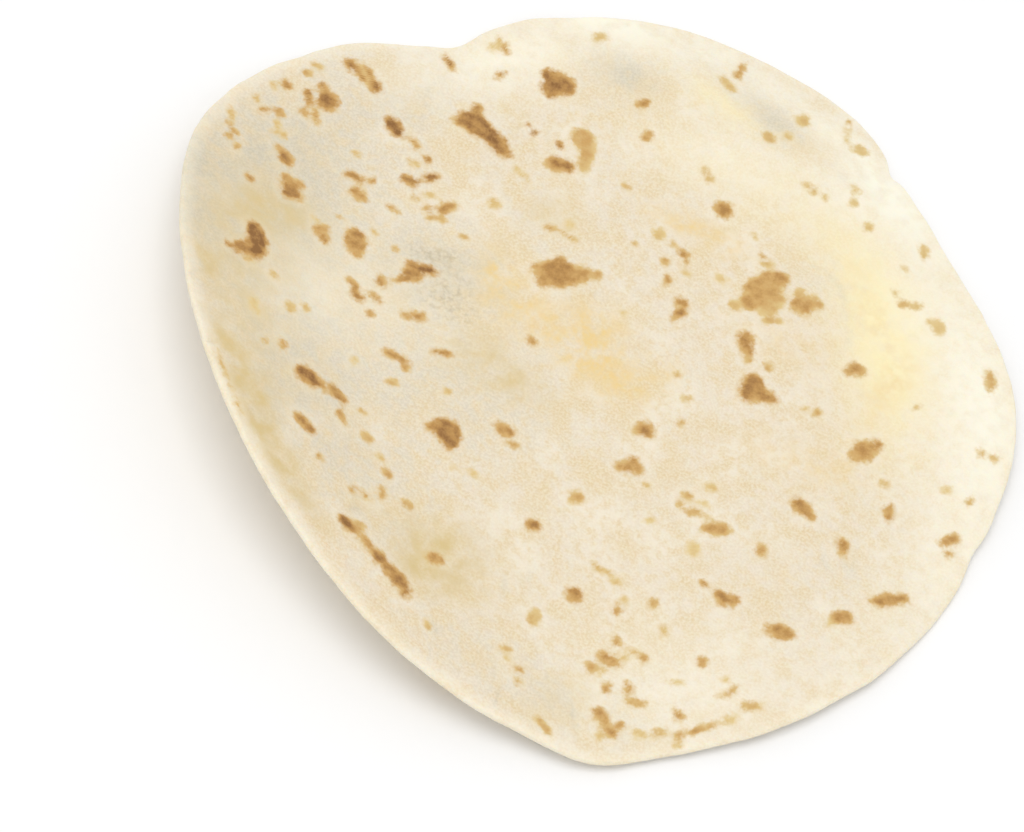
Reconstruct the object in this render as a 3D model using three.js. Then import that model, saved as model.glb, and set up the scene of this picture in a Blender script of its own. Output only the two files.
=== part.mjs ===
// A flour tortilla: one thin round of soft dough, rolled out and toasted on a dry griddle.
// It lies flat on its far side, and its near left side has curled up.
// Millimetres, +Z up, +X to the right and +Y away from someone who looks at it. Directions are
// degrees from +X towards +Y, and places on the round are given as it lay before it curled.

import * as THREE from 'three';
import { mergeVertices } from 'three/addons/utils/BufferGeometryUtils.js';

// The round as it was rolled out
const ROUND_RADIUS = 99.5;
const SHEET_THICKNESS = 1.9;
const RIM_THICKNESS = 1.5;
const RIM_TAPER_WIDTH = 14;
const RIM_LOBES = [
  { direction: 20, spread: 11, out: 3.2 },
  { direction: 45, spread: 9, out: -1.6 },
  { direction: 70, spread: 7, out: 3.0 },
  { direction: 88, spread: 13, out: 2.6 },
  { direction: 132, spread: 9, out: -7.6 },
  { direction: 171, spread: 15, out: 5.7 },
  { direction: 246, spread: 28, out: -4.6 },
  { direction: 291, spread: 5, out: 3.0 },
  { direction: 322, spread: 20, out: -1.6 },
];

// The curl: past a straight line the sheet bends up, gently at first and then evenly
const CURL_DIRECTION = 223;
const CURL_START = 5;
const CURL_EASE = 24;
const CURL_RADIUS = 128;

// Low swells, where the soft sheet stands a little clear of what it lies on. The length and the
// width are from the middle of the swell to its foot, and the turn is the length's direction.
const SWELLS = [
  { x: 8, y: 79, length: 80, width: 22, turn: -6, height: 2.6 },
  { x: 93, y: 30, length: 58, width: 30, turn: 108, height: 3.2 },
  { x: 74, y: -62, length: 52, width: 26, turn: 48, height: 2.0 },
];

// Blisters that the griddle raised on the upper face
const BLISTERS = [
  { x: 38, y: 37, radius: 20, height: 1.3 },
  { x: -14, y: 21, radius: 13, height: 0.8 },
  { x: -45, y: 48, radius: 12, height: 0.8 },
  { x: -23, y: 55, radius: 10, height: 0.7 },
  { x: -33, y: 70, radius: 9, height: 0.6 },
  { x: -81, y: -12, radius: 10, height: 0.7 },
  { x: -78, y: 38, radius: 10, height: 0.6 },
  { x: -60, y: 4, radius: 9, height: 0.6 },
  { x: -54, y: -40, radius: 9, height: 0.6 },
  { x: -25, y: -75, radius: 11, height: 0.6 },
  { x: -22, y: -32, radius: 9, height: 0.6 },
  { x: 40, y: 13, radius: 9, height: 0.6 },
  { x: 67, y: 10, radius: 8, height: 0.5 },
];

// How finely the solid is faceted
const SECTORS = 96;
const RINGS = 21;
const RING_CROWDING = 0.85;
const RIM_STEPS = 4;

const DOUGH_COLOUR = 0xf1e6cc;
const DOUGH_ROUGHNESS = 0.85;

// The turn, in degrees, between two directions, from -180 to 180
function turnBetween(from, to) {
  return THREE.MathUtils.euclideanModulo(to - from + 180, 360) - 180;
}

function bell(distance) {
  return Math.exp(-0.5 * distance * distance);
}

// A low dome, 1 high at its middle, that runs out softly at its foot at distance 1
function dome(distance) {
  return distance < 1 ? (1 - distance * distance) ** 2 : 0;
}

function rimRadius(direction) {
  let radius = ROUND_RADIUS;
  for (const lobe of RIM_LOBES) {
    radius += lobe.out * bell(turnBetween(lobe.direction, direction) / lobe.spread);
  }
  return radius;
}

function swellHeight(x, y) {
  let height = 0;
  for (const swell of SWELLS) {
    const turn = THREE.MathUtils.degToRad(swell.turn);
    const along = (x - swell.x) * Math.cos(turn) + (y - swell.y) * Math.sin(turn);
    const across = (y - swell.y) * Math.cos(turn) - (x - swell.x) * Math.sin(turn);
    height += swell.height * dome(Math.hypot(along / swell.length, across / swell.width));
  }
  return height;
}

function blisterHeight(x, y) {
  let height = 0;
  for (const blister of BLISTERS) {
    height += blister.height * dome(Math.hypot(x - blister.x, y - blister.y) / blister.radius);
  }
  return height;
}

// How far the curled sheet has run and risen, and its slope, at a length past the curl's start
function curlAt(length) {
  const easeSlope = CURL_EASE / (2 * CURL_RADIUS);
  if (length < CURL_EASE) {
    return {
      run: length,
      rise: length ** 3 / (6 * CURL_EASE * CURL_RADIUS),
      slope: (easeSlope * length ** 2) / CURL_EASE ** 2,
    };
  }
  const slope = (length - CURL_EASE / 2) / CURL_RADIUS;
  return {
    run: CURL_EASE + CURL_RADIUS * (Math.sin(slope) - Math.sin(easeSlope)),
    rise: CURL_EASE ** 2 / (6 * CURL_RADIUS) + CURL_RADIUS * (Math.cos(easeSlope) - Math.cos(slope)),
    slope,
  };
}

// The place, on the curled sheet, of a spot on the flat round and a height over its underside
function curledPlace(x, y, height) {
  const turn = THREE.MathUtils.degToRad(CURL_DIRECTION);
  const past = x * Math.cos(turn) + y * Math.sin(turn) - CURL_START;
  const side = y * Math.cos(turn) - x * Math.sin(turn);
  const curl = past > 0 ? curlAt(past) : { run: past, rise: 0, slope: 0 };
  const out = CURL_START + curl.run - height * Math.sin(curl.slope);
  return new THREE.Vector3(
    out * Math.cos(turn) - side * Math.sin(turn),
    out * Math.sin(turn) + side * Math.cos(turn),
    curl.rise + height * Math.cos(curl.slope),
  );
}

// Half of the sheet's section, of thickness 1: out along the underside, round the rim, back over the top
function sheetProfile() {
  const edge = RIM_THICKNESS / 2;
  const faceRadius = ROUND_RADIUS - edge;
  const ringRadii = [];
  for (let ring = 0; ring < RINGS; ring += 1) {
    ringRadii.push(faceRadius * (ring / RINGS) ** RING_CROWDING);
  }
  const underside = ringRadii.map((radius) => new THREE.Vector2(radius, 0));
  const top = ringRadii.map((radius) => new THREE.Vector2(radius, 1)).reverse();
  const rim = [];
  for (let step = 0; step <= RIM_STEPS; step += 1) {
    const turn = Math.PI * (step / RIM_STEPS - 0.5);
    rim.push(new THREE.Vector2(faceRadius + edge * Math.cos(turn), 0.5 + 0.5 * Math.sin(turn)));
  }
  return [...underside, ...rim, ...top];
}

// The faces of the turned round. The quads of both faces are split along the same diagonal, so that
// the sheet stays evenly thick, and the triangles that shrink to nothing on the axis are left out.
function splitAlike(pointsInProfile) {
  const faces = [];
  const middle = pointsInProfile / 2;
  for (let sector = 0; sector < SECTORS; sector += 1) {
    for (let point = 0; point < pointsInProfile - 1; point += 1) {
      const a = sector * pointsInProfile + point;
      const b = a + pointsInProfile;
      const c = b + 1;
      const d = a + 1;
      const onUnderside = point < middle;
      if (point === 0) {
        faces.push(b, c, d);
      } else if (point === pointsInProfile - 2) {
        faces.push(a, b, d);
      } else if (onUnderside) {
        faces.push(a, b, d, c, d, b);
      } else {
        faces.push(a, b, c, a, c, d);
      }
    }
  }
  return faces;
}

function makeTortilla() {
  const profile = sheetProfile();
  const turned = new THREE.LatheGeometry(profile, SECTORS);
  turned.setIndex(splitAlike(profile.length));
  turned.deleteAttribute('normal');
  turned.deleteAttribute('uv');
  const sheet = mergeVertices(turned);

  const places = sheet.getAttribute('position');
  for (let spot = 0; spot < places.count; spot += 1) {
    const roundX = places.getZ(spot);
    const roundY = places.getX(spot);
    const share = places.getY(spot);
    const radius = Math.hypot(roundX, roundY);
    const direction = THREE.MathUtils.radToDeg(Math.atan2(roundY, roundX));
    const stretch = rimRadius(direction) / ROUND_RADIUS;
    const x = roundX * stretch;
    const y = roundY * stretch;
    const inFromRim = THREE.MathUtils.smoothstep(ROUND_RADIUS - radius, 0, RIM_TAPER_WIDTH);
    const thickness = THREE.MathUtils.lerp(RIM_THICKNESS, SHEET_THICKNESS, inFromRim);
    const height = swellHeight(x, y) + share * (thickness + blisterHeight(x, y));
    places.setXYZ(spot, ...curledPlace(x, y, height).toArray());
  }

  // The middle of what it covers is over the origin, and the flat underside at height 0
  sheet.computeBoundingBox();
  const middle = sheet.boundingBox.getCenter(new THREE.Vector3());
  sheet.translate(-middle.x, -middle.y, -sheet.boundingBox.min.z);
  sheet.computeVertexNormals();

  const dough = new THREE.MeshStandardMaterial({
    color: DOUGH_COLOUR,
    roughness: DOUGH_ROUGHNESS,
    metalness: 0,
  });
  const mesh = new THREE.Mesh(sheet, dough);
  mesh.name = 'tortilla';
  return mesh;
}

const tortilla = new THREE.Group();
tortilla.add(makeTortilla());

export default tortilla;
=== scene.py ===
import math

import bmesh
import bpy
import numpy as np
from mathutils import Matrix, Vector, noise


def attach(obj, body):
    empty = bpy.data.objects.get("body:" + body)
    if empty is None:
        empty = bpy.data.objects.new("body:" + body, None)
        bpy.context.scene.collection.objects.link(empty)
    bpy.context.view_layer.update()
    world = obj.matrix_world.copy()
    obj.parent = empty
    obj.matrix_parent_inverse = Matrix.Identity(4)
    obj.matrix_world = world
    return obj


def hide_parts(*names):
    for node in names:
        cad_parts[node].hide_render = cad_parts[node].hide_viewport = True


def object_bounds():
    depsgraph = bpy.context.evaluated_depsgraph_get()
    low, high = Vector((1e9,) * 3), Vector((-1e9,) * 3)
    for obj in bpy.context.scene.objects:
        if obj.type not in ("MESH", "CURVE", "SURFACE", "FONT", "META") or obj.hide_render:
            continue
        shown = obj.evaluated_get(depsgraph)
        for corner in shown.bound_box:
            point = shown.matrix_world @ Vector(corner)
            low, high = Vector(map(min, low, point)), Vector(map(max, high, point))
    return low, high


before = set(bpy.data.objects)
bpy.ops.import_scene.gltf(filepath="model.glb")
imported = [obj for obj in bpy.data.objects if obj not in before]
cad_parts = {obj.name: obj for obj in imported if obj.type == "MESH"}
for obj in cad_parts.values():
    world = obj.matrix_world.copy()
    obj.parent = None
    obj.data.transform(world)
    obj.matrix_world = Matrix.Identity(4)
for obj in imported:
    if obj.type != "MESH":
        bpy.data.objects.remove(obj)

cad_low, cad_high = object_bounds()

# The tortilla is one thin round of wheat dough, rolled out by hand and toasted on a dry griddle.
# It is soft and matt. It lies flat on its far side, and its near left side has curled up.
# Sizes are millimetres and degrees, and places on the round are given as it lay before it curled.
MM = 0.001
ROUND_RADIUS = 99.5
SHEET_THICKNESS = 1.9
RIM_THICKNESS = 1.5
RIM_TAPER_WIDTH = 14.0
# the rim's unevenness, its lumps' size as a share of the radius, and the layer of dough they come from
RIM_WAVER = 0.35
RIM_WAVER_GRAIN = 0.12
RIM_WAVER_LAYER = 3.7
# direction, spread and how far the rim stands out there from a true circle
RIM_LOBES = [
    (20, 11, 3.2), (45, 9, -1.6), (70, 7, 3.0), (88, 13, 2.6), (132, 9, -7.6), (171, 15, 5.7),
    (246, 28, -4.6), (291, 5, 3.0), (322, 20, -1.6),
]
# the same for the small dents and bulges where the rim tore or was nipped
RIM_NICKS = [
    (57.5, 4, -0.8), (60.2, 1.1, -1.7), (113, 6.5, -2.1), (130.5, 2.5, -1.7), (145, 4, 1.0),
    (357.5, 2.2, -1.1),
]
CURL_DIRECTION = math.radians(223)
CURL_START = 5.0
CURL_EASE = 24.0
CURL_RADIUS = 128.0
# place, half length, half width, turn and height of the low swells in the sheet
SWELLS = [(8, 79, 80, 22, -6, 2.6), (93, 30, 58, 30, 108, 3.2), (74, -62, 52, 26, 48, 2.0)]
# place, radius and height of the blisters that the griddle raised
BLISTERS = [
    (38, 37, 20, 1.3), (-14, 21, 13, 0.8), (-45, 48, 12, 0.8), (-23, 55, 10, 0.7), (-33, 70, 9, 0.6),
    (-81, -12, 10, 0.7), (-78, 38, 10, 0.6), (-60, 4, 9, 0.6), (-54, -40, 9, 0.6), (-25, -75, 11, 0.6),
    (-22, -32, 9, 0.6), (40, 13, 9, 0.6), (67, 10, 8, 0.5),
]
# both ends, width and depth of the fine creases in the upper face
CREASES = [
    (-94, -38.2, -89, -33.2, 0.9, 0.40), (-83, -54, -78.5, -48.5, 0.9, 0.40),
    (-31, -64, -37.5, -71, 1.2, 0.22), (-9, -80, -5, -87, 1.2, 0.20), (3, -58, 5, -68, 1.2, 0.24),
    (8, -54, 8.6, -64, 1.2, 0.20), (11.5, -86, 12.6, -96, 1.2, 0.28), (27, -79, 31.8, -93, 1.3, 0.26),
    (23, 13, 24, 3, 1.0, 0.16), (-58, 58, -60, 50, 1.0, 0.20), (65.5, -17, 71, -26, 1.4, 0.28),
    (67.5, -10, 74.5, -28, 1.5, 0.26), (73, -12, 76, -26, 1.4, 0.22), (-2, 90, 34, 78, 7.0, 0.55),
    (-34, 84, -4, 78, 8.0, 0.45),
]
# the foot of the largest blister shows as part of a ring
RING_PLACE = (37, 35.5)
RING_RADIUS = 17.0
RING_WIDTH = 1.6
RING_DEPTH = 0.2
RING_DIRECTION = 35
RING_SPREAD = 95
# The toasted marks on the upper face: place, length, width, turn of the length, and browning up to 1.
# Each large mark is made of a few ovals that run together.
LARGE_MARKS = [
    (-33.4, 70.2, 7.6, 4, 0, 0.9), (-33.6, 67.8, 5.6, 4.8, 0, 0.95), (-31, 69.6, 4.2, 3.8, 80, 0.9),
    (-36, 70.6, 3, 2.2, 0, 0.85), (-46.5, 49, 9, 5.2, -10, 0.9), (-41.6, 47.2, 9, 4.3, -16, 0.93),
    (-50.2, 48.2, 3, 2.6, 0, 0.76), (-47.4, 52.2, 4.6, 3, 110, 0.8), (-38.4, 45.8, 4.6, 2.8, -25, 0.9),
    (-36.8, 45, 1.6, 1.2, -40, 0.75), (-22.2, 57.7, 5.6, 5.8, 30, 0.48),
    (-19.7, 54.6, 6.4, 3.8, 105, 0.47), (-19.2, 51.5, 3.4, 2.8, 90, 0.52),
    (-24.2, 48.7, 6.4, 3, 12, 0.88), (-26.2, 47.4, 3.6, 2.2, -10, 0.6),
    (-26.4, 53.6, 1.3, 0.6, -25, 1.1), (-23.8, 59, 0.4, 0.4, 0, 1.1), (-14.2, 19.6, 10.8, 7, 25, 0.72),
    (-9.6, 21.8, 7, 4.2, 32, 0.6), (-6.6, 23.9, 3.6, 1.6, 20, 0.55), (-14.6, 22.8, 3, 2.6, 0, 0.82),
    (-19.4, 18.8, 2, 2, 0, 0.64), (-16.4, 16.4, 3.4, 2.4, 0, 0.7), (-80.8, -13, 8.8, 4.8, -58, 1.0),
    (-79.4, -16, 3.8, 3.4, 100, 1.0), (-82, -17.9, 6.4, 3, 27, 1.0), (-84.8, -19.5, 2, 0.8, 22, 1.1),
    (-81.6, -15.8, 2.8, 2.4, 0, 0.85), (-80.2, -19.4, 1.6, 1.2, 0, 0.5), (-60, 3.4, 6.2, 5.6, 90, 0.74),
    (-58.4, 1.2, 3.6, 3, 95, 0.64), (-60.4, 4.4, 2.2, 1.4, 20, 0.95), (-43.5, 5.4, 7.2, 2.4, 12, 0.95),
    (-46, 0.4, 5.4, 2, 41, 0.72), (-44.6, 3.2, 4.4, 3.4, 25, 0.76), (-78.8, 7.9, 6.2, 4.4, -65, 0.74),
    (-79.2, 5.4, 2.6, 2, 0, 0.88), (-80.6, 9.4, 2.6, 2.2, 0, 0.66), (-77.6, 10.4, 2.4, 2, 0, 0.7),
    (-76.6, 6.6, 2.4, 2.2, 0, 0.84), (-82.8, 15.2, 4.4, 3.4, -20, 0.9),
    (-85.2, 16.6, 3, 1.2, -35, 0.75), (-80.2, 37.2, 5.8, 4.2, -60, 0.9),
    (-82.4, 39.8, 4.2, 1.7, -50, 0.85), (-79.2, 35.9, 4, 2, 40, 0.85),
    (-76.4, 49.2, 5.6, 1.5, -41, 0.88), (-79.8, 50.2, 3, 1.8, -40, 0.95),
    (-73.6, 49, 7.6, 2.2, -43, 0.8), (-71.8, 47.4, 3.4, 2.2, -45, 1.0), (-75, 49.4, 5.6, 3, -42, 0.38),
    (-63.5, 39, 5.8, 3, -40, 1.0), (-57, -41.1, 5.8, 4.6, -22, 0.92), (-53.6, -41.2, 4.6, 2.6, 0, 0.82),
    (-49, -40.3, 6, 2.8, -8, 0.82), (-34.6, -72.6, 5.6, 3, -10, 0.88), (-32.6, -71, 3.4, 2, 40, 0.55),
    (-30, -74, 5.4, 2, -22, 0.76), (-24, -76.6, 9.4, 3, -20, 0.82), (-19.6, -78.2, 6.4, 3.4, -15, 0.85),
    (-17.1, -80.2, 2.8, 2.2, -70, 0.85), (-23, -32.4, 6.8, 4.6, 20, 0.84),
    (-21.2, -34, 6.6, 4.2, -75, 0.88), (-26, -33.8, 3, 1.8, 28, 0.75), (-22.8, -33.8, 5, 4.2, 0, 0.86),
    (-10.6, -25.1, 4.8, 3.2, -5, 0.7), (-7.6, -27.6, 2.2, 1.2, 0, 0.68),
    (-53.2, -54.2, 5.8, 2.9, -15, 0.82), (31.2, 39, 12, 7.4, 72, 0.58),
    (33.2, 43.2, 5.2, 4.8, 30, 0.66), (29, 38.2, 5, 4, 60, 0.66), (29, 34, 4.6, 4.2, 0, 0.6),
    (33.4, 34.8, 5, 5, 0, 0.42), (34.8, 37.6, 3.8, 4.4, 0, 0.44), (26.2, 32, 2.8, 2.4, 0, 0.4),
    (35.2, 31.6, 2, 1.6, 0, 0.55), (37.2, 32.2, 1, 0.8, 0, 0.34), (29.4, 46.2, 2.2, 1.6, 20, 0.42),
    (31.4, 40.8, 3.4, 2.2, 60, 0.74), (41, 39.4, 6.4, 4.6, 36, 0.6), (44.2, 41.2, 3.2, 2, 34, 0.5),
    (39, 42.2, 2.2, 2, 0, 0.46), (42.6, 42.4, 2, 1.4, 0, 0.4), (31.6, 24.6, 4, 3.2, 50, 0.78),
    (32.9, 22.4, 3.6, 2.2, -65, 0.75), (34, 19.8, 1.8, 1.4, 0, 0.62), (39, 20, 1.8, 1.4, 100, 0.62),
    (37.4, 13.2, 6.8, 4.8, 95, 0.78), (37.4, 10.8, 4.6, 3.6, 20, 0.8), (41.6, 12.2, 4, 2.8, 8, 0.84),
    (39.4, 11.6, 3.6, 3, 0, 0.82), (66.8, 9.4, 7.2, 4.6, 56, 0.66), (66, 8.6, 3, 2.4, 50, 0.72),
    (69.4, 13, 2, 1.4, 60, 0.7), (15, 56, 4.4, 4.2, 0, 0.72), (14.8, 26.8, 3, 2.2, 0, 0.72),
    (15.4, 24, 3, 2.6, 75, 0.78), (14.7, 21.8, 1.8, 1.1, 70, 0.65),
]
MIDDLE_MARKS = [
    (-58.8, 63.1, 4.6, 1.6, -45, 0.8), (-46.4, 65.6, 2.2, 1.5, 90, 0.8), (-48, 73.4, 2, 1.4, -45, 0.65),
    (-12.6, 73.6, 4, 1.9, 45, 0.78), (-8.5, 66, 2.5, 2.1, 80, 0.7), (5.5, 95.6, 4.8, 1.4, 90, 0.7),
    (4, 89.6, 4.2, 1.4, -37, 0.38), (-28.6, 87, 3.4, 1.5, 35, 0.42), (24.2, 89, 4, 2.8, 80, 0.36),
    (39.5, 88.4, 3.4, 2.6, 0, 0.3), (18, 79.6, 3, 2.6, 80, 0.46), (22.4, 82, 1.8, 1.5, 0, 0.34),
    (57.6, 29, 4.2, 2.6, 50, 0.76), (59, 29.6, 2.4, 2.2, 40, 0.46), (88, 40, 5.4, 2.2, 108, 0.48),
    (62.9, 68, 3.2, 1.7, 108, 0.32), (72, 50, 3, 2.4, 0, 0.28), (72.8, 48.4, 1.6, 1.4, 0, 0.3),
    (77.2, -3.2, 4.2, 2.1, 95, 0.72), (92.2, -3.8, 4.4, 2.3, 55, 0.62), (93.4, -7, 1.6, 1.3, 60, 0.6),
    (58.4, -11.4, 5.8, 3.3, -20, 0.76), (60.8, -12.2, 2.4, 1.6, -5, 0.7),
    (70.2, -16.6, 4.2, 2.2, 118, 0.72), (84.6, -24.1, 8.2, 2.7, 31, 0.72),
    (82.4, -25.6, 3.8, 2.8, 30, 0.72), (75.8, -33.8, 4.8, 3, 34, 0.74), (74, -36, 2.4, 1.4, 50, 0.3),
    (64.2, -43.8, 5.6, 3.8, 12, 0.76), (61.4, -44.2, 1.6, 1, 0, 0.7), (49.4, -41.6, 3.8, 3, -10, 0.78),
    (51.6, -41.2, 3, 2.4, 10, 0.8), (44, -40, 1.7, 1.4, -20, 0.78), (42.2, -25.6, 6.2, 3.3, 22, 0.6),
    (40.6, -27, 3, 1.4, 20, 0.45), (53.5, -26, 2.6, 2, 80, 0.72), (18.6, -9.2, 4.4, 3.4, -30, 0.78),
    (17.4, -10.6, 1.8, 1.4, 0, 0.5), (19.8, -18.8, 4.2, 2.2, -48, 0.74), (17.2, -20.9, 3.6, 2, 2, 0.7),
    (18.6, -20.2, 3.2, 2.8, 0, 0.62), (3.9, -44.7, 3, 2.8, 0, 0.8), (10.5, -33, 3.4, 2.5, 30, 0.5),
    (9.6, -34.2, 1.6, 1.2, 60, 0.36), (18.5, -57, 3.6, 3.2, 0, 0.82), (12, -67.4, 3.6, 2.4, 95, 0.5),
    (-13.2, -66.4, 4, 2, 12, 0.78), (-15, -67, 1.6, 1.2, 20, 0.6), (-31, -13.5, 4.6, 1.5, 22, 0.75),
    (-40.6, -20.8, 5, 1.8, 10, 0.8), (-36.8, -22.3, 1.8, 1.5, -40, 0.66),
    (-38.2, -20.4, 2.4, 1.6, -20, 0.7), (-42.2, -8.5, 2.2, 1, 15, 0.6), (-39.2, -7, 3, 1.7, 35, 0.68),
    (-56.4, -7.8, 3, 1.2, -15, 0.72), (-55.2, -9.2, 2.6, 1.6, -70, 0.75),
    (-53.7, -10.6, 3.2, 1.8, 15, 0.82), (-50.5, -3.4, 2.8, 2, 110, 0.8), (-68.2, 1.4, 4, 2.6, 35, 0.7),
    (-66.8, -0.4, 3.4, 1.8, -60, 0.72), (-64, 16.4, 4.8, 2.6, -10, 0.78),
    (-66.6, 20.6, 4.2, 1.8, -5, 0.78), (-62.5, 22, 1.8, 1.5, 90, 0.7), (-54.8, 26.8, 4, 2.3, 0, 0.92),
    (-50.5, 30.2, 3.6, 1.8, 50, 0.85), (-44, 24.5, 4.8, 2.6, 55, 0.7), (-45.2, 23, 2, 1.6, 0, 0.85),
    (-48, 21.2, 2, 1.2, -40, 0.62), (-45.2, 20.4, 3.8, 0.9, 20, 0.58), (-90.5, 36, 3, 1.8, -50, 0.68),
    (-84.7, 35.6, 4, 1.8, -63, 0.88), (-84, 30.6, 2.2, 1.8, 0, 0.72), (-81, 31.2, 3.8, 1.3, -62, 0.66),
    (-86, 45.6, 2.8, 1.4, -10, 0.5), (-87.5, 42.2, 1.8, 1.4, 0, 0.6), (-89, 26.8, 2.4, 2, 0, 0.75),
    (-92.5, 25.2, 2.4, 1.6, 30, 0.7), (-88, 22.5, 4, 1, -65, 0.36), (-98.8, 18.2, 3.4, 0.7, -65, 0.4),
    (-97.4, 14.6, 2.8, 1, -40, 0.68), (-96, 13.8, 1.4, 0.9, -30, 0.6), (-97, 11.6, 1.8, 1.2, 80, 0.7),
    (-94.1, 9.8, 1.4, 1.1, 80, 0.62), (-88.4, 3.2, 2.2, 1.8, 0, 0.82),
    (-45.5, -45.5, 3.6, 1.4, -34, 0.75), (-38.4, -46.4, 2.6, 2.2, 0, 0.56),
    (-69, -39.5, 1.4, 1, 0, 0.55), (-65, -36.9, 2.4, 0.9, -65, 0.7),
    (-30.9, -52.4, 2.2, 1.9, -40, 0.66), (-30.4, -58.4, 3, 1.5, 95, 0.62),
    (-24, -56.8, 2.4, 1.4, 0, 0.66), (23, -91.2, 5, 1.4, -30, 0.46),
]
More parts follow.
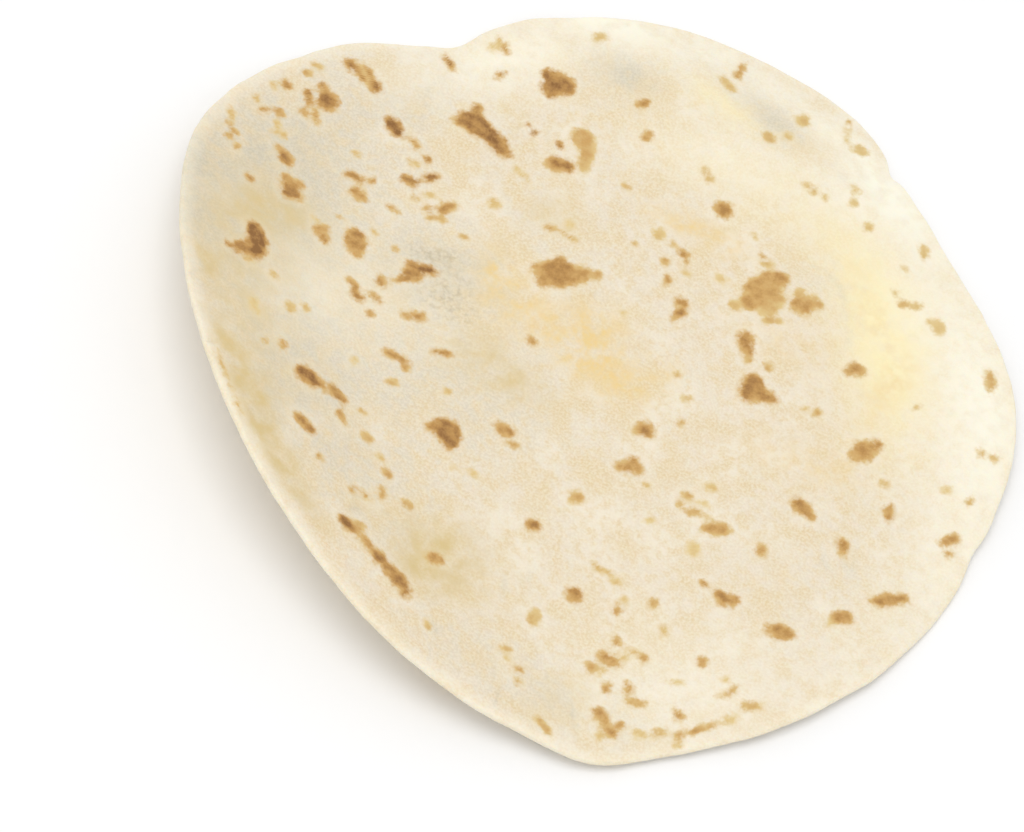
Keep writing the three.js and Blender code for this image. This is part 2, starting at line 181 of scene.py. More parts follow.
SMALL_MARKS = [
    (-57.5, 37.3, 3, 1, -30, 0.68), (-53, 34.6, 1.8, 1.7, 0, 0.78), (-56.4, 32.2, 1.3, 0.7, -20, 0.45),
    (-54.6, 31.8, 1, 0.8, 0, 0.4), (-34.6, 31, 2.4, 2, 40, 0.5), (-49, 25.5, 2, 0.6, 30, 0.42),
    (-51.5, 23, 1.6, 0.9, 0, 0.6), (-68.4, 26.7, 1.4, 1.1, 0, 0.42), (-55.4, 17.2, 2.6, 1.1, -22, 0.7),
    (-37.6, 19, 1.4, 0.9, 0, 0.55), (-95.4, 27.2, 1.4, 0.8, -50, 0.52), (-88, 20.2, 1.4, 1, 0, 0.45),
    (-86, 21, 1.5, 0.9, -60, 0.5), (-93, 33.6, 1.3, 0.8, -40, 0.4), (-65.5, 7.8, 1.2, 0.7, 0, 0.55),
    (-57, 8.4, 1, 0.7, 0, 0.4), (-70.4, 3.2, 1.4, 0.8, 0, 0.45), (-50.6, 7.2, 1.2, 1, 0, 0.55),
    (-49.8, -8.4, 2.8, 1, -22, 0.66), (-49.5, -13.3, 1.5, 1.2, 90, 0.7),
    (-73.4, -19.4, 1.5, 1.3, 0, 0.52), (-67, -24.8, 2.6, 1.9, 40, 0.46),
    (-63.6, -22.4, 1.8, 1.5, 0, 0.4), (-74.6, -31.4, 3.4, 1.4, -60, 0.28),
    (-48.4, -28, 1.6, 1.2, 90, 0.25), (-38.4, -28, 2.2, 1.3, 20, 0.5),
    (-33.8, -49.4, 1.1, 0.7, 0, 0.45), (-42, -40.4, 1.3, 0.7, 0, 0.45),
    (-46.7, -60.4, 1.5, 1.2, 70, 0.6), (-36.9, -63, 1.5, 1.1, 60, 0.72),
    (-33.5, -61.8, 3, 0.7, -8, 0.55), (-9.4, -84.4, 2, 0.8, -60, 0.42),
    (-75, -57.2, 5.4, 0.5, -48, 0.55), (-69, -64, 1.8, 0.5, -45, 0.42), (9, -78.4, 1.4, 0.7, 0, 0.55),
    (10.2, -80.2, 1, 0.6, 0, 0.3), (13.5, -81.5, 1.7, 1.3, -20, 0.66), (14, -84.3, 1.3, 0.8, -50, 0.6),
    (-32.5, 42, 2, 0.6, -25, 0.42), (-29.6, 41, 1, 0.7, 0, 0.35), (3.4, 42, 2.8, 2.4, 90, 0.34),
    (3.2, 43.2, 0.8, 0.6, 0, 0.5), (7.4, 41.2, 1.5, 1.2, 70, 0.55), (10.5, 39.5, 1.7, 1.4, 0, 0.78),
    (12, 38, 1, 0.8, 0, 0.55), (7.5, 35.5, 1.7, 1.4, -60, 0.6), (13, 34.6, 0.9, 0.7, 0, 0.45),
    (9.5, 31, 2.5, 1.2, -65, 0.66), (-0.8, 36.6, 1, 0.8, 0, 0.55), (-20.4, 31, 2.2, 0.8, 20, 0.55),
    (-15.8, 30.8, 3.6, 0.6, -8, 0.55), (-16.6, 34, 1.8, 1.2, 0, 0.25), (53.5, 14, 1.8, 1, 90, 0.6),
    (50.5, 13.6, 1, 0.7, 70, 0.4), (74, 3.6, 1.6, 1.4, 0, 0.48), (93.5, 7.5, 1.6, 0.7, 70, 0.48),
    (74.5, 26.1, 1.6, 0.7, 45, 0.42), (92, 20.6, 1.6, 0.7, 30, 0.42), (95, 20.6, 1.8, 0.8, 0, 0.42),
    (87.5, 8, 1.6, 0.8, 30, 0.3), (60.2, 54.2, 1, 0.7, 0, 0.3), (63, 52, 1.8, 1, 70, 0.44),
    (64.4, 52.5, 1.8, 0.5, 10, 0.35), (66, 53, 1.6, 1.2, 50, 0.36), (70.3, 49.7, 1.2, 0.8, 0, 0.3),
    (60.1, 61.5, 0.8, 0.7, 0, 0.35), (-13.5, 0.2, 1.8, 1.2, 0, 0.68), (25.5, -3.5, 1.4, 1.1, 90, 0.6),
    (24.4, 3.1, 1.8, 0.8, 40, 0.42), (20.5, 8.2, 1, 0.7, 0, 0.42), (3, 17.2, 1.2, 0.7, -30, 0.35),
    (37.5, -16.2, 2, 1, 15, 0.46), (33.5, -20.8, 2.2, 1.4, 30, 0.66), (31.8, -21, 0.9, 0.6, 0, 0.5),
    (33, -23.8, 1.6, 1.3, 90, 0.62), (36, -24, 2.6, 1.4, 40, 0.56), (39, -24, 1, 0.8, 0, 0.52),
    (36.9, -21, 2.2, 0.8, 0, 0.3), (39, -33, 3.2, 2.4, 80, 0.27), (27.8, -30.8, 1.3, 0.8, 0, 0.28),
    (22.2, -47.7, 4.2, 0.9, -5, 0.46), (26, -49, 2, 1.3, 60, 0.38), (35.5, -50.5, 2.1, 1.7, 0, 0.62),
    (29, -52.5, 1.6, 0.8, 90, 0.4), (28.5, -55.6, 1.8, 1.5, 90, 0.72), (40, -55.4, 2, 1.2, -60, 0.5),
    (50.5, -59, 2.2, 1.6, 70, 0.7), (31, -63, 2.3, 1.4, -65, 0.62), (38, -64, 2.2, 1.6, 0, 0.62),
    (35.5, -64, 1.4, 0.6, 0, 0.4), (29.8, -68, 2.8, 2.2, 0, 0.7), (32.2, -68.2, 3, 2.4, 10, 0.7),
    (33.9, -66.2, 1.4, 0.8, 40, 0.45), (28, -72, 2.6, 1.6, -40, 0.55), (30, -71.4, 1.8, 1, 0, 0.35),
    (37.5, -72.6, 2.6, 2, -60, 0.66), (40, -75.4, 3.8, 1.6, 20, 0.55), (33, -75, 2.6, 1.5, 90, 0.6),
    (50, -74, 2.4, 2, -30, 0.62), (33.5, -82, 3.4, 3, 0, 0.66), (35.6, -83.2, 3.2, 2.2, -50, 0.64),
    (37.4, -84.6, 3.2, 2.2, 0, 0.64), (38.4, -82.6, 2.8, 1.2, 60, 0.6),
    (35.5, -86.8, 1.4, 0.8, 60, 0.42), (44, -82, 3.8, 1.2, 10, 0.3), (47.6, -79.6, 2.4, 1.2, 40, 0.5),
    (51.5, -78.4, 1.6, 1, 60, 0.55), (55.4, -75, 6, 1, 44, 0.56), (52, -81, 1.6, 0.8, 20, 0.36),
    (60.8, -70, 2.6, 0.6, 45, 0.3), (58.2, -64, 3.6, 1.1, 50, 0.58), (56.7, -61.1, 1.1, 0.6, 60, 0.28),
    (64.2, -64.8, 4, 1.3, 28, 0.5), (62.7, -65.7, 1.4, 1, 0, 0.48), (46.5, -66.5, 1.5, 0.4, 10, 0.35),
    (-26, -22.4, 1.5, 1.3, 0, 0.46), (-13, -40, 1.2, 1, 0, 0.4), (-17.5, -41, 0.9, 0.8, 0, 0.32),
    (24, -22.5, 1.2, 0.8, 0, 0.4), (43, 72.2, 1.6, 1.3, 0, 0.36), (42, 76, 2, 1.4, 80, 0.28),
    (33.4, 70.2, 1.6, 1.3, 0, 0.44), (31, 71, 1.7, 1, 0, 0.38), (36, 70, 1.1, 0.9, 0, 0.4),
    (48.4, 67.9, 1.7, 1.5, 0, 0.34), (9, 62.5, 2, 1.2, -45, 0.55), (7, 64, 1, 0.7, 0, 0.45),
    (28, 48, 1.7, 1.1, 0, 0.56), (24.6, 52.4, 0.8, 0.6, 0, 0.35), (21, 37.6, 2.4, 1.2, 0, 0.3),
    (-8, 50.7, 1.4, 1.1, 0, 0.48), (-50, 74.5, 1.8, 0.7, -65, 0.5), (-50.6, 72.6, 2.4, 1.4, 0, 0.26),
    (34.5, 95.4, 0.6, 0.4, 0, 0.55), (35.4, 90.4, 2.4, 0.5, 100, 0.24), (-35, 55.5, 0.2, 0.2, 0, 1.1),
    (-33, 54.5, 0.4, 0.2, 0, 1.1), (-33.2, 53.4, 0.2, 0.2, 0, 1.1),
]
# Soft patches, each with its place, length, width, turn and strength: where the dough is golden,
GOLDEN = [
    (-22.5, 8.5, 12, 9, -30, 1.0), (-26.5, 13, 9, 5, -60, 0.8), (-7, 7, 13, 10, 0, 0.75),
    (-1, 13, 10, 8, 0, 0.5), (3, 6, 12, 9, 0, 0.6), (2.5, 0.8, 12, 5, -12, 0.7),
    (15.5, 3.5, 8, 6, 40, 0.7), (11, -2, 10, 6, 30, 0.5), (17, 8, 5, 5, 0, 0.4),
    (-2.6, -2.2, 5, 3, -20, 0.5), (13.5, 47, 13, 5, 0, 1.0), (2, 48, 9, 4, 0, 0.35),
    (22.2, 82.2, 3, 2, 0, 0.4), (21.2, 37.8, 3, 2.4, 0, 0.45), (66.5, 27, 18, 6, 75, 0.5),
    (57, 46, 20, 7, -50, 0.45), (54, 0, 16, 9, 0, 0.4), (40, 28, 16, 10, 0, 0.35),
    (66, 4, 10, 6, 60, 0.3), (61, -28.8, 3, 2, 0, 0.35), (53.6, -33.4, 3, 2.4, 0, 0.3),
    (-50.9, 72.6, 3, 2, 0, 0.45),
]
# where it is tan,
TAN = [
    (-13.5, -65, 17, 14, 20, 0.9), (-11, -68, 11, 9, 0, 0.4), (-16, -69, 8, 5, 60, 0.5),
    (-76, -52, 16, 6, -55, 0.7), (-67, -58, 14, 7, -60, 0.8), (-61, -65, 12, 6, -55, 0.7),
    (-53, -70, 12, 6, -45, 0.8), (-44, -75, 10, 5, -30, 0.5), (-87, -5, 14, 10, 60, 0.5),
    (-76, 0, 13, 9, 10, 0.7), (-80, -16, 20, 18, 0, 0.6), (-88, -30, 10, 6, -40, 0.6),
    (-73, -42, 30, 16, -58, 0.5), (-74.8, -31.6, 5, 3.4, -50, 0.6), (-24, -10, 14, 9, 20, 0.7),
    (-13, -12, 14, 8, 0, 0.6), (-21, 35, 8, 6, 30, 0.6), (-29.5, 17, 7, 4, 80, 0.5),
    (-23.5, 8, 8, 5, -40, 0.4), (24, -84, 14, 7, 60, 0.35), (-35, -64, 8, 5, 0, 0.3),
]
# where grey shade is painted on, mostly over the curled flap and its rim and in the folds near the far
# rim,
PAINTED_SHADE_PATCHES = [
    (-40, 6, 18, 14, 30, 0.35), (-18, 78.5, 20, 10, 0, 0.4), (20, 86, 34, 9, -18, 0.5),
    (44, 47, 22, 10, 20, 0.2), (-76, -20, 70, 40, 105, 0.5), (-84, 18, 50, 26, 75, 0.35),
    (-22, -24, 30, 18, 10, 0.25), (18, -84, 50, 14, 5, 0.4), (-42, 0, 110, 90, 60, 0.24),
    (-96, 5, 60, 14, 95, 0.12), (-102, -12, 50, 8, 100, 0.5), (66, -26, 56, 40, 60, 0.1),
    (-40, -56, 44, 24, -30, 0.34), (-62, 48, 16, 12, 40, 0.3), (-44, -4, 46, 30, 35, 0.15),
]
# where it is smudged with dark specks,
SMUDGED = [
    (-41.6, 10.6, 11, 4, 15, 0.9), (-36, 2.5, 11, 9, 60, 0.8), (-31, -1, 12, 8, 0, 0.4),
]
# where a bright yellowish glow is painted on, as light shining up through the thin sheet,
PAINTED_GLOW_PATCHES = [
    (57, 48, 30, 15, -50, 0.65), (66, 32, 32, 16, -72, 0.65), (28, 64, 50, 16, -8, 0.3),
    (4, 83, 16, 6, -15, 0.6),
]
# and where it is paler: partly the dough's own tone, partly painted light shining through the thin sheet
# at the rim and on the right
PALE_AND_GLOW_PATCHES = [
    (-34, 95, 46, 12, -2, 1.0), (-47, 71, 30, 14, 42, 0.8), (8, 69, 26, 12, 15, 0.4),
    (42, 73, 28, 13, 10, 0.45), (49, -68, 32, 22, 30, 0.42), (-44, -4, 46, 30, 35, 0.14),
    (-60, -16, 26, 20, 30, 0.26), (76, 50, 66, 18, -52, 0.6), (92, 14, 60, 18, 98, 0.6),
    (88, -30, 50, 16, 70, 0.25), (24, 92, 50, 8, -16, 0.5), (46, 81, 30, 8, -30, 0.4),
]
# the pale band round the rim, partly the thin edge's own tone and partly painted light through it: its
# width and strength
PALE_RIM_GLOW_WIDTH = 5.0
PALE_RIM_GLOW_STRENGTH = 0.45


def bell(distance):
    """A soft hump: 1 at its middle, dying away outwards."""
    return np.exp(-0.5 * distance ** 2)


def dome(distance):
    """A rounded hump: 1 at its middle, nothing from 1 outwards."""
    return np.clip(1 - distance ** 2, 0, 1) ** 2


def along_across(x, y, place_x, place_y, turn):
    """How far a spot is from a place, along a turned line and across it."""
    turn = math.radians(turn)
    along = (x - place_x) * math.cos(turn) + (y - place_y) * math.sin(turn)
    across = (y - place_y) * math.cos(turn) - (x - place_x) * math.sin(turn)
    return along, across


def oval_distance(x, y, place_x, place_y, half_length, half_width, turn):
    """How far a spot is from the middle of an oval: 0 at the middle, 1 at its edge."""
    along, across = along_across(x, y, place_x, place_y, turn)
    return np.hypot(along / half_length, across / half_width)


# how soft the lumps are, how much smaller each next layer of them is, and how many layers there are
LUMP_SOFTNESS = 1.0
LUMP_STEP = 2.0
LUMP_LAYERS = 3


def dough_waver(x, y, grain, layer):
    """Uneven dough: about -1 to 1, with lumps of the grain's size. Each layer is different."""
    return np.array([
        noise.fractal((spot_x, spot_y, layer), LUMP_SOFTNESS, LUMP_STEP, LUMP_LAYERS)
        for spot_x, spot_y in zip(x / grain, y / grain)
    ])


def rim_radius(direction):
    """How far the rim is from the middle of the flat round."""
    radius = ROUND_RADIUS
    for lobe, spread, out in RIM_LOBES + RIM_NICKS:
        turn = (np.degrees(direction) - lobe + 180) % 360 - 180
        radius = radius + out * bell(turn / spread)
    return radius


def curled_place(x, y, height):
    """Where a spot of the flat round comes to lie, at a height over the sheet's underside."""
    past = x * math.cos(CURL_DIRECTION) + y * math.sin(CURL_DIRECTION) - CURL_START
    side = y * math.cos(CURL_DIRECTION) - x * math.sin(CURL_DIRECTION)
    ease_slope = CURL_EASE / (2 * CURL_RADIUS)
    eased = np.clip(past, 0, CURL_EASE)
    bent = np.clip(past - CURL_EASE, 0, None)
    slope = ease_slope * (eased / CURL_EASE) ** 2 + bent / CURL_RADIUS
    run = np.minimum(past, CURL_EASE) + CURL_RADIUS * np.where(
        bent > 0, np.sin(slope) - math.sin(ease_slope), 0)
    rise = eased ** 3 / (6 * CURL_EASE * CURL_RADIUS) + CURL_RADIUS * np.where(
        bent > 0, math.cos(ease_slope) - np.cos(slope), 0)
    out = CURL_START + run - height * np.sin(slope)
    return np.stack([
        out * math.cos(CURL_DIRECTION) - side * math.sin(CURL_DIRECTION),
        out * math.sin(CURL_DIRECTION) + side * math.cos(CURL_DIRECTION),
        rise + height * np.cos(slope),
    ], axis=1)


# The sheet starts as two square nets, a fine one for the upper face and a coarser one below it,
# sewn together along their edges. Each square is then rounded off into a disc.
NET = 276
SEAM_GAP = 0.1 / NET
sheet = bmesh.new()
upper = bmesh.ops.create_grid(sheet, x_segments=NET, y_segments=NET, size=1.0)["verts"]
bmesh.ops.translate(sheet, verts=upper, vec=(0, 0, 1))
under = bmesh.ops.create_grid(sheet, x_segments=NET // 2, y_segments=NET // 2, size=1.0)["verts"]
under_edges = {edge for vert in under for edge in vert.link_edges if edge.is_boundary}
bmesh.ops.translate(sheet, verts=under, vec=(0, 0, -1))
bmesh.ops.subdivide_edges(sheet, edges=list(under_edges), cuts=1)
for vert in sheet.verts:
    if vert.is_boundary:
        vert.co.z = 0
bmesh.ops.remove_doubles(sheet, verts=sheet.verts, dist=SEAM_GAP)
bmesh.ops.recalc_face_normals(sheet, faces=sheet.faces)
for face in sheet.faces:
    face.smooth = True
tortilla_mesh = bpy.data.meshes.new("tortilla")
sheet.to_mesh(tortilla_mesh)
sheet.free()

# Rounding off: each spot keeps its ring of the square net, and the ring becomes a circle.
net = np.empty(len(tortilla_mesh.vertices) * 3)
tortilla_mesh.vertices.foreach_get("co", net)
net_x, net_y, face_side = net.reshape(-1, 3).T
wide = np.abs(net_x) > np.abs(net_y)
reach = np.where(wide, net_x, net_y)
other = np.where(wide, net_y, net_x)
turn = math.pi / 4 * other / np.where(reach == 0, 1, reach)
turn = np.where(wide, turn, math.pi / 2 - turn)
share = np.abs(reach)
direction = np.arctan2(reach * np.sin(turn), reach * np.cos(turn))

# The outermost rows of the net go round the soft edge of the sheet.
EDGE_ROWS = 4
face_share = 1 - EDGE_ROWS / (NET / 2)
edge_turn = math.pi / 2 * np.clip((share - face_share) / (1 - face_share), 0, 1)
radius = (ROUND_RADIUS - RIM_THICKNESS / 2) * np.minimum(share / face_share, 1)
radius += RIM_THICKNESS / 2 * np.sin(edge_turn)
on_top = face_side >= 0
through = 0.5 + 0.5 * np.cos(edge_turn) * np.where(on_top, 1, -1)
rim_waver = RIM_WAVER * dough_waver(
    np.cos(direction), np.sin(direction), RIM_WAVER_GRAIN, RIM_WAVER_LAYER)
stretch = (rim_radius(direction) + rim_waver) / ROUND_RADIUS
x = radius * stretch * np.cos(direction)
y = radius * stretch * np.sin(direction)
from_rim = (ROUND_RADIUS - radius) * stretch

# Toasting: how far inside a mark's edge each spot of the sheet is, in millimetres, and how brown that
# mark is. Neighbouring marks run together. The underside has marks of its own, scattered by chance.
# how far out a mark is felt, and how sharply neighbours meet
MARK_REACH = 8.0
MARK_MERGING = 3.0
LEAST_STEEPNESS = 1e-6


def toast(x, y, marks):
    """How far inside the nearest marks a spot is, and how brown they are."""
    weight = np.zeros(len(x))
    brown = np.zeros(len(x))
    for place_x, place_y, length, width, mark_turn, browning in marks:
        along, across = along_across(x, y, place_x, place_y, mark_turn)
        away = np.hypot(along * 2 / length, across * 2 / width)
        steep = np.hypot(along * 4 / length ** 2, across * 4 / width ** 2)
        inside = np.maximum((1 - away) * away / np.maximum(steep, LEAST_STEEPNESS), -MARK_REACH)
        pull = np.exp(MARK_MERGING * inside)
        weight += pull
        brown += pull * browning
    return np.log(weight) / MARK_MERGING, brown / weight


def soft_patches(x, y, patches):
    """How strongly one kind of patch shows at a spot, 0 to 1."""
    strength = np.zeros(len(x))
    for place_x, place_y, length, width, patch_turn, strong in patches:
        away = oval_distance(x, y, place_x, place_y, length / 2, width / 2, patch_turn)
        strength += strong * bell(away)
    return np.clip(strength, 0, 1)


# how many marks the underside has, how far out they lie, and the range of their sizes and browning
UNDER_MARKS = 110
UNDER_REACH = 0.95 * ROUND_RADIUS
UNDER_SHORTEST = 1.4
UNDER_LONGER = 8.0
UNDER_WIDTHS = (0.45, 0.9)
UNDER_TURNS = (0, 180)
UNDER_BROWNING = (0.3, 0.85)
UNDER_SEED = 11
chance = np.random.default_rng(UNDER_SEED)
under_marks = []
for _ in range(UNDER_MARKS):
    out = UNDER_REACH * math.sqrt(chance.random())
    at = chance.uniform(0, 2 * math.pi)
    length = UNDER_SHORTEST + UNDER_LONGER * chance.random() ** 3
    under_marks.append((
        out * math.cos(at), out * math.sin(at), length, length * chance.uniform(*UNDER_WIDTHS),
        chance.uniform(*UNDER_TURNS), chance.uniform(*UNDER_BROWNING),
    ))

mark_edge = np.empty(len(x))
browning = np.empty(len(x))
for side, marks in ((on_top, LARGE_MARKS + MIDDLE_MARKS + SMALL_MARKS), (~on_top, under_marks)):
    mark_edge[side], browning[side] = toast(x[side], y[side], marks)
golden = soft_patches(x, y, GOLDEN)
tan = soft_patches(x, y, TAN)
# the painted grey shade, on the upper face only
painted_shade = np.where(on_top, soft_patches(x, y, PAINTED_SHADE_PATCHES), 0)
smudged = np.where(on_top, soft_patches(x, y, SMUDGED), 0)
# the painted yellowish glow
painted_glow = soft_patches(x, y, PAINTED_GLOW_PATCHES)
# the paler patches and rim, partly painted light
pale_rim_and_glow = PALE_RIM_GLOW_STRENGTH * dome(from_rim / PALE_RIM_GLOW_WIDTH)
pale = np.maximum(soft_patches(x, y, PALE_AND_GLOW_PATCHES), pale_rim_and_glow)

# Relief: swells and blisters, a low rise under each toasted mark, fine creases and uneven dough.
# the rise of the brownest mark, the share of it that the palest has, how far out the slope starts,
# and how wide the slope is
MARK_RISE = 0.28
PALEST_MARK_RISE = 0.4
MARK_FOOT = 2.5
MARK_SLOPE = 4.0
# how much grey shade is painted into the creases and the foot of the ring
CREASE_PAINTED_SHADE = 0.3
CREASE_WANDER = 0.8
CREASE_WANDER_LENGTH = 3.0
# height, grain and layer of the lumps in the uneven dough
LUMPS = [(0.22, 21, 0.3), (0.09, 6.5, 5.1), (0.03, 1.9, 8.6)]
swell = np.zeros(len(x))
for place_x, place_y, half_length, half_width, swell_turn, height in SWELLS:
    away = oval_distance(x, y, place_x, place_y, half_length, half_width, swell_turn)
    swell += height * dome(away)
blister = np.zeros(len(x))
for place_x, place_y, blister_radius, height in BLISTERS:
    blister += height * dome(np.hypot(x - place_x, y - place_y) / blister_radius)
mark_rise = MARK_RISE * (PALEST_MARK_RISE + (1 - PALEST_MARK_RISE) * browning)
blister += mark_rise * np.clip((mark_edge + MARK_FOOT) / MARK_SLOPE, 0, 1)
crease = np.zeros(len(x))
for start_x, start_y, end_x, end_y, width, depth in CREASES:
    length = math.hypot(end_x - start_x, end_y - start_y)
    along = ((x - start_x) * (end_x - start_x) + (y - start_y) * (end_y - start_y)) / length
    across = ((x - start_x) * (end_y - start_y) - (y - start_y) * (end_x - start_x)) / length
    wander = CREASE_WANDER * np.sin(along / CREASE_WANDER_LENGTH)
    ends = dome(2 * along / length - 1)
    fold = ends * bell((across - wander) / (width / 2))
    crease += depth * fold
    # each crease gets painted shade along its fold
    painted_shade += CREASE_PAINTED_SHADE * fold
around = np.degrees(np.arctan2(y - RING_PLACE[1], x - RING_PLACE[0]))
from_ring = np.hypot(x - RING_PLACE[0], y - RING_PLACE[1]) - RING_RADIUS
fold = bell(from_ring / (RING_WIDTH / 2))
fold *= dome((around - RING_DIRECTION) / RING_SPREAD)
crease += RING_DEPTH * fold
# and the ring gets painted shade too
painted_shade += CREASE_PAINTED_SHADE * fold
lumps = np.zeros(len(x))
for height, lump_grain, layer in LUMPS:
    lumps += height * dough_waver(x, y, lump_grain, layer)
in_from_rim = np.clip(from_rim / RIM_TAPER_WIDTH, 0, 1)
in_from_rim = in_from_rim ** 2 * (3 - 2 * in_from_rim)
thickness = RIM_THICKNESS + (SHEET_THICKNESS - RIM_THICKNESS) * in_from_rim
upper_height = through * (thickness + blister + lumps - crease)
under_height = through * thickness + (1 - 2 * through) * np.clip(lumps, 0, None)
place = curled_place(x, y, swell + np.where(on_top, upper_height, under_height))
middle = (place.min(axis=0) + place.max(axis=0)) / 2
cad_middle = (cad_low + cad_high) / 2
place[:, 0] += cad_middle.x / MM - middle[0]
place[:, 1] += cad_middle.y / MM - middle[1]
tortilla_mesh.vertices.foreach_set("co", (place * MM).ravel())
tortilla_mesh.update()

# What the dough's material reads: the marks, the patches, and a flat map with the upper face large in
# one corner and the underside small in the other. A face's place on the map is its middle and radius.
UPPER_MAP = (0.37, 0.63, 0.36)
UNDER_MAP = (0.79, 0.21, 0.20)
# Some of these readings are painted light and shade: the grey shade, the yellowish glow, and in part the
# pale patches and rim.
readings = {
    "mark_edge": mark_edge, "browning": browning, "golden": golden, "tan": tan,
    "painted_shade": painted_shade, "smudged": smudged, "painted_glow": painted_glow, "pale": pale,
}
for name, values in readings.items():
    attribute = tortilla_mesh.attributes.new(name, "FLOAT", "POINT")
    attribute.data.foreach_set("value", values.astype(np.float32))
corner_vert = np.empty(len(tortilla_mesh.loops), dtype=np.int32)
tortilla_mesh.loops.foreach_get("vertex_index", corner_vert)
corners = np.empty(len(tortilla_mesh.polygons), dtype=np.int32)
tortilla_mesh.polygons.foreach_get("loop_total", corners)
starts = np.concatenate([[0], np.cumsum(corners)[:-1]])
upper_face = np.repeat(np.add.reduceat(face_side[corner_vert], starts) > 0, corners)
map_x, map_y, map_radius = (
    np.where(upper_face, upper, lower) for upper, lower in zip(UPPER_MAP, UNDER_MAP))
flat_map = tortilla_mesh.uv_layers.new(name="OFBake")
flat_map.uv.foreach_set("vector", np.stack([
    map_x + map_radius * (share * np.cos(direction))[corner_vert],
    map_y + map_radius * (share * np.sin(direction))[corner_vert],
], axis=1).astype(np.float32).ravel())


# how a screen turns its levels into light
SCREEN_LEVELS = 255
SCREEN_LIFT = 0.055
SCREEN_CURVE = 2.4


def shade(red, green, blue):
    """A colour read off a screen, 0 to 255, as the light that a shader works with."""
    levels = [value / SCREEN_LEVELS for value in (red, green, blue)]
    return [((level + SCREEN_LIFT) / (1 + SCREEN_LIFT)) ** SCREEN_CURVE for level in levels] + [1]


DOUGH = shade(234, 221, 199)
WARM_DOUGH = shade(226, 205, 163)
LIGHT_DOUGH = shade(243, 234, 214)
GOLD = shade(236, 209, 150)
TAN_DOUGH = shade(217, 195, 143)
# the grey of the painted shade
PAINTED_SHADE_GREY = shade(201, 193, 171)
SMUDGE = shade(184, 170, 140)
# the yellow of the painted glow
PAINTED_GLOW_DOUGH = shade(252, 239, 194)
# the pale tone, partly painted light
PALE_AND_GLOW_DOUGH = shade(252, 246, 227)
TOAST_STEPS = [
    (0.0, shade(235, 217, 175)), (0.15, shade(226, 203, 149)), (0.3, shade(218, 188, 129)),
    (0.5, shade(207, 167, 106)), (0.7, shade(188, 145, 86)), (0.9, shade(163, 121, 73)),
    (1.0, shade(145, 105, 62)),
]

# the slight shine of the dough, and the light that sinks into it
DOUGH_SHINE = 0.25
SUNK_LIGHT = 0.25
SUNK_LIGHT_COLOUR = (1.0, 0.75, 0.45)
SUNK_LIGHT_DEPTH = 1.5
dough = bpy.data.materials.new("toasted_dough")
dough.use_nodes = True
tree = dough.node_tree
skin = tree.nodes["Principled BSDF"]
skin.inputs["Specular IOR Level"].default_value = DOUGH_SHINE
skin.inputs["Subsurface Weight"].default_value = SUNK_LIGHT
skin.inputs["Subsurface Radius"].default_value = SUNK_LIGHT_COLOUR
skin.inputs["Subsurface Scale"].default_value = SUNK_LIGHT_DEPTH * MM


def add(kind, **settings):
    """A new node of the dough's material."""
    node = tree.nodes.new(kind)
    for name, value in settings.items():
        setattr(node, name, value)
    return node


def feed(socket, source):
    """Gives a socket a number, a colour or the result of another node."""
    if isinstance(source, bpy.types.NodeSocket):
        tree.links.new(source, socket)
    else:
        socket.default_value = source


def reckon(operation, first, second):
    node = add("ShaderNodeMath", operation=operation)
    feed(node.inputs[0], first)
    feed(node.inputs[1], second)
    return node.outputs[0]


def plus(first, second):
    return reckon("ADD", first, second)


def times(first, second):
    return reckon("MULTIPLY", first, second)


def between(value, low, high, to_low=0.0, to_high=1.0):
    """A number that goes smoothly from one level to another as the value goes from low to high."""
    node = add("ShaderNodeMapRange", interpolation_type="SMOOTHSTEP")
    for socket, source in zip(node.inputs, (value, low, high, to_low, to_high)):
        feed(socket, source)
    return node.outputs[0]


def colour_mix(amount, first, second):
    """The first colour with an amount of the second in it."""
    node = add("ShaderNodeMix", data_type="RGBA")
    feed(node.inputs[0], amount)
    feed(node.inputs[6], first)
    feed(node.inputs[7], second)
    return node.outputs[2]


def read(name):
    """What the sheet holds under this name at each spot."""
    return add("ShaderNodeAttribute", attribute_name=name).outputs["Fac"]


object_place = add("ShaderNodeTexCoord").outputs["Object"]


def grain(size, detail=2.0):
    """An even noise, 0 to 1, with lumps of this size in millimetres."""
    node = add("ShaderNodeTexNoise")
    feed(node.inputs["Vector"], object_place)
    feed(node.inputs["Scale"], 1 / (size * MM))
    feed(node.inputs["Detail"], detail)
    return node.outputs["Fac"]


GRAIN_MIDDLE = 0.5


def ragged(size, depth, detail=2.0):
    """How far a ragged edge stands out or back, in millimetres, with teeth of this size."""
    return times(plus(grain(size, detail), -GRAIN_MIDDLE), depth)


# A mark is a stain with a soft, ragged edge. It gets browner inwards, and it is blotchy. A row of four
# numbers says between which two values something goes, and from what share to what share it goes there.
MARK_SPREAD = 0.35
# size and depth of the teeth of a mark's edge, and of its core's with their detail
MARK_TEETH = [(2.4, 2.6), (0.8, 1.3)]
CORE_TEETH = (2.6, 2.0, 1.5)
MARK_COVER = (-0.95, 0.7, 0.0, 1.0)
MARK_CORE = (-0.3, 1.9, 0.68, 1.0)
MARK_MARGIN = (-0.9, 1.2, 0.6, 1.0)
MARK_HALO = (-2.4, -0.9, 0.0, 0.12)
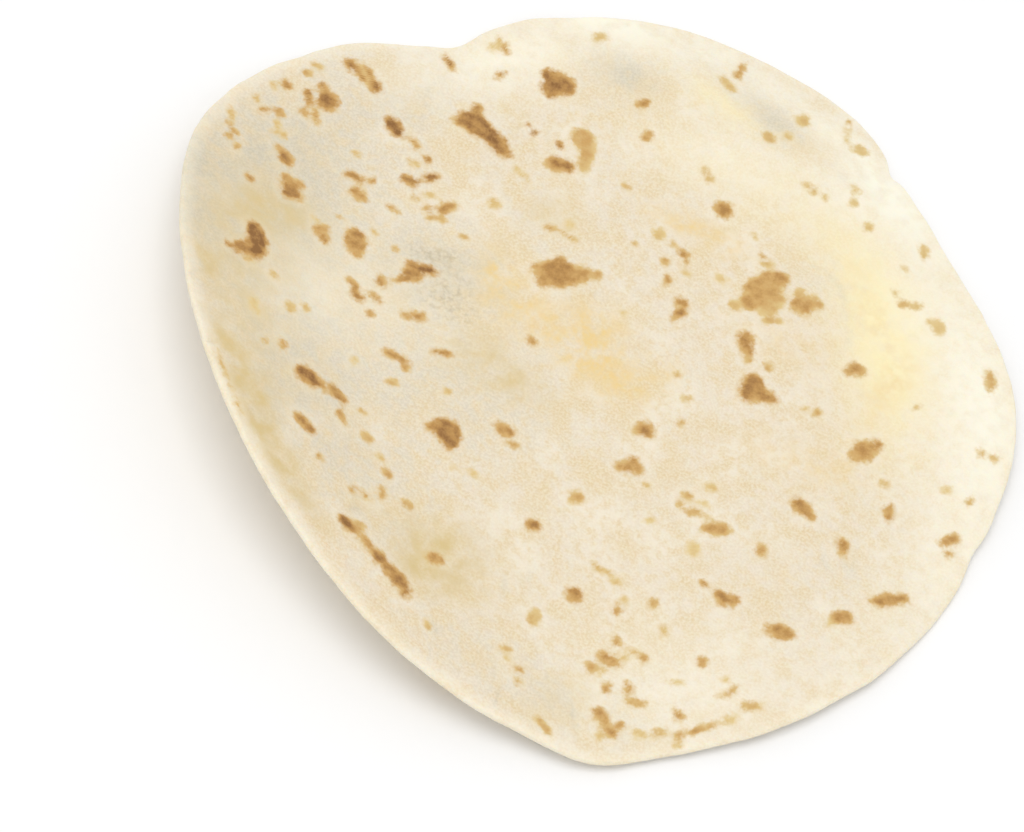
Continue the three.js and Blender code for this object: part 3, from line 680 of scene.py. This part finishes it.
# size and detail of the blotches, and their row of four
BLOTCHES = [(2.6, 3, (0.3, 0.68, 0.78, 1.12)), (0.5, 2, (0.3, 0.7, 0.94, 1.05))]
mark = plus(read("mark_edge"), MARK_SPREAD)
ragged_mark = mark
for tooth_size, tooth_depth in MARK_TEETH:
    ragged_mark = plus(ragged_mark, ragged(tooth_size, tooth_depth))
cover = between(ragged_mark, *MARK_COVER)
brown = times(read("browning"), between(plus(mark, ragged(*CORE_TEETH)), *MARK_CORE))
brown = times(brown, between(ragged_mark, *MARK_MARGIN))
for size, detail, levels in BLOTCHES:
    brown = times(brown, between(grain(size, detail), *levels))

# Warm and light clouds of several sizes lie over the plain dough, and they are fainter where grey shade
# is painted on.
CLOUD_FADING = (0.2, 1.0, 1.0, 0.45)
# size and detail of the clouds, their row of four and their colour
CLOUDS = [
    (15, 6, (0.48, 0.66, 0.0, 0.5), LIGHT_DOUGH), (11, 7, (0.48, 0.68, 0.0, 0.75), WARM_DOUGH),
    (5, 7, (0.46, 0.68, 0.0, 0.85), WARM_DOUGH), (2.2, 5, (0.44, 0.68, 0.0, 0.65), WARM_DOUGH),
    (0.6, 4, (0.3, 0.72, 0.0, 0.6), LIGHT_DOUGH),
]
# the painted grey shade goes on the plain dough first
plain = colour_mix(read("painted_shade"), DOUGH, PAINTED_SHADE_GREY)
lively = between(read("painted_shade"), *CLOUD_FADING)
for size, detail, levels, colour in CLOUDS:
    plain = colour_mix(times(lively, between(grain(size, detail), *levels)), plain, colour)


def patched(under, patch, colour, breaks):
    """The dough with one kind of patch laid on, broken up by some grains."""
    amount = read(patch)
    for size, detail, levels in breaks:
        amount = times(amount, between(grain(size, detail), *levels))
    return colour_mix(amount, under, colour)


# size and detail of the grains that break up each kind of patch, and their row of four
TAN_GRAINS = [(4.5, 5, (0.25, 0.7, 0.25, 1.0))]
PAINTED_GLOW_GRAINS = [(5, 5, (0.2, 0.6, 0.5, 1.0))]
PALE_AND_GLOW_GRAINS = [(4, 5, (0.3, 0.6, 0.65, 1.0))]
GOLDEN_GRAINS = [(3.5, 6, (0.32, 0.66, 0.15, 1.0)), (1.2, 4, (0.3, 0.6, 0.55, 1.0))]
SMUDGE_GRAINS = [(1.3, 6, (0.4, 0.75, 0.1, 0.6))]
plain = patched(plain, "tan", TAN_DOUGH, TAN_GRAINS)
# the painted yellowish glow goes on here
plain = patched(plain, "painted_glow", PAINTED_GLOW_DOUGH, PAINTED_GLOW_GRAINS)
# the paler patches and rim, partly painted light, go on here
plain = patched(plain, "pale", PALE_AND_GLOW_DOUGH, PALE_AND_GLOW_GRAINS)
plain = patched(plain, "golden", GOLD, GOLDEN_GRAINS)
plain = colour_mix(between(mark, *MARK_HALO), plain, LIGHT_DOUGH)
plain = patched(plain, "smudged", SMUDGE, SMUDGE_GRAINS)
ramp = add("ShaderNodeValToRGB")
for place_on_ramp, colour in TOAST_STEPS[1:-1]:
    ramp.color_ramp.elements.new(place_on_ramp)
for stop, (place_on_ramp, colour) in zip(ramp.color_ramp.elements, TOAST_STEPS):
    stop.position = place_on_ramp
    stop.color = colour
feed(ramp.inputs[0], brown)
toasted = colour_mix(cover, plain, ramp.outputs[0])
feed(skin.inputs["Base Color"], toasted)
DOUGH_ROUGHNESS = 0.78
TOAST_ROUGHNESS = 0.9
feed(skin.inputs["Roughness"], between(brown, 0.0, 1.0, DOUGH_ROUGHNESS, TOAST_ROUGHNESS))

# The skin of the dough is finely pitted: strength and depth, and size and detail of the pits.
PIT_STRENGTH = 0.35
PIT_DEPTH = 0.25
FINE_PITS = (0.9, 4)
COARSE_PITS = (2.8, 3)
COARSE_PIT_SHARE = 1.5
pits = add("ShaderNodeBump")
feed(pits.inputs["Strength"], PIT_STRENGTH)
feed(pits.inputs["Distance"], PIT_DEPTH * MM)
feed(pits.inputs["Height"], plus(grain(*FINE_PITS), times(grain(*COARSE_PITS), COARSE_PIT_SHARE)))
feed(skin.inputs["Normal"], pits.outputs[0])
tortilla_mesh.materials.append(dough)

tortilla = bpy.data.objects.new("soft_tortilla", tortilla_mesh)
bpy.context.scene.collection.objects.link(tortilla)
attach(tortilla, "root")
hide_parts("tortilla")

# The table is a broad, plain board, painted a matt pale white. The tortilla lies loose on it.
# It is only there for the picture and is no part of the tortilla. Its sizes are metres.
TABLE_HALF_WIDTH = 3.0
TABLE_GAP = 0.0002
TABLE_COLOUR = (0.97, 0.97, 0.97, 1)
TABLE_ROUGHNESS = 0.9
board = bmesh.new()
bmesh.ops.create_grid(board, x_segments=1, y_segments=1, size=TABLE_HALF_WIDTH)
bmesh.ops.translate(board, verts=board.verts, vec=(0, 0, cad_low.z - TABLE_GAP))
table_mesh = bpy.data.meshes.new("table")
board.to_mesh(table_mesh)
board.free()
white = bpy.data.materials.new("pale_table")
white.use_nodes = True
paint = white.node_tree.nodes["Principled BSDF"]
paint.inputs["Base Color"].default_value = TABLE_COLOUR
paint.inputs["Roughness"].default_value = TABLE_ROUGHNESS
table_mesh.materials.append(white)
table = bpy.data.objects.new("table", table_mesh)
bpy.context.scene.collection.objects.link(table)

# The studio light is a wide soft lamp that hangs high on the left, with even white light from all round.
# Its sizes are metres.
LAMP_DIRECTION = math.radians(215)
LAMP_ELEVATION = math.radians(80)
LAMP_DISTANCE = 1.3
LAMP_SIZE = 0.9
LAMP_WATTS = 5.4
ROUND_LIGHT = 0.78
world = bpy.data.worlds.new("studio")
bpy.context.scene.world = world
world.use_nodes = True
backdrop = world.node_tree.nodes["Background"]
backdrop.inputs["Color"].default_value = (1, 1, 1, 1)
backdrop.inputs["Strength"].default_value = ROUND_LIGHT
lamp_data = bpy.data.lights.new("soft_lamp", "AREA")
lamp_data.energy = LAMP_WATTS
lamp_data.size = LAMP_SIZE
lamp = bpy.data.objects.new("soft_lamp", lamp_data)
to_lamp = Vector((
    math.cos(LAMP_DIRECTION) * math.cos(LAMP_ELEVATION),
    math.sin(LAMP_DIRECTION) * math.cos(LAMP_ELEVATION),
    math.sin(LAMP_ELEVATION),
))
lamp.location = to_lamp * LAMP_DISTANCE
lamp.rotation_euler = to_lamp.to_track_quat("Z", "Y").to_euler()
bpy.context.scene.collection.objects.link(lamp)
bpy.context.scene.view_settings.view_transform = "Standard"

# The camera looks down on the round from the near side and is tilted on its own axis, so that the
# picture is turned. The middle of the round shows right of the picture's middle and above it.
PICTURE_WIDTH = 1024
PICTURE_HEIGHT = 832
MIDDLE_ACROSS = 582.5
MIDDLE_DOWN = 369.5
DOTS_PER_MM = 4.36
VIEW_DISTANCE = 900.0
VIEW_ELEVATION = math.radians(57)
VIEW_TILT = math.radians(24)
SENSOR_WIDTH = 36
round_middle = Vector((cad_middle.x / MM - middle[0], cad_middle.y / MM - middle[1], 0))
level_right = Vector((1, 0, 0))
level_up = Vector((0, math.sin(VIEW_ELEVATION), math.cos(VIEW_ELEVATION)))
back = Vector((0, -math.cos(VIEW_ELEVATION), math.sin(VIEW_ELEVATION)))
picture_right = level_right * math.cos(VIEW_TILT) + level_up * math.sin(VIEW_TILT)
picture_up = level_up * math.cos(VIEW_TILT) - level_right * math.sin(VIEW_TILT)
eye = round_middle + back * VIEW_DISTANCE
aim = round_middle - picture_right * (MIDDLE_ACROSS - PICTURE_WIDTH / 2) / DOTS_PER_MM
aim -= picture_up * (PICTURE_HEIGHT / 2 - MIDDLE_DOWN) / DOTS_PER_MM
back = (eye - aim).normalized()
picture_right = picture_up.cross(back).normalized()
picture_up = back.cross(picture_right)
camera_data = bpy.data.cameras.new("camera")
camera_data.sensor_width = SENSOR_WIDTH
camera_data.lens = SENSOR_WIDTH * VIEW_DISTANCE * DOTS_PER_MM / PICTURE_WIDTH
camera = bpy.data.objects.new("camera", camera_data)
camera.matrix_world = Matrix.Translation(eye * MM) @ Matrix(
    (picture_right, picture_up, back)).transposed().to_4x4()
bpy.context.scene.collection.objects.link(camera)
bpy.context.scene.camera = camera
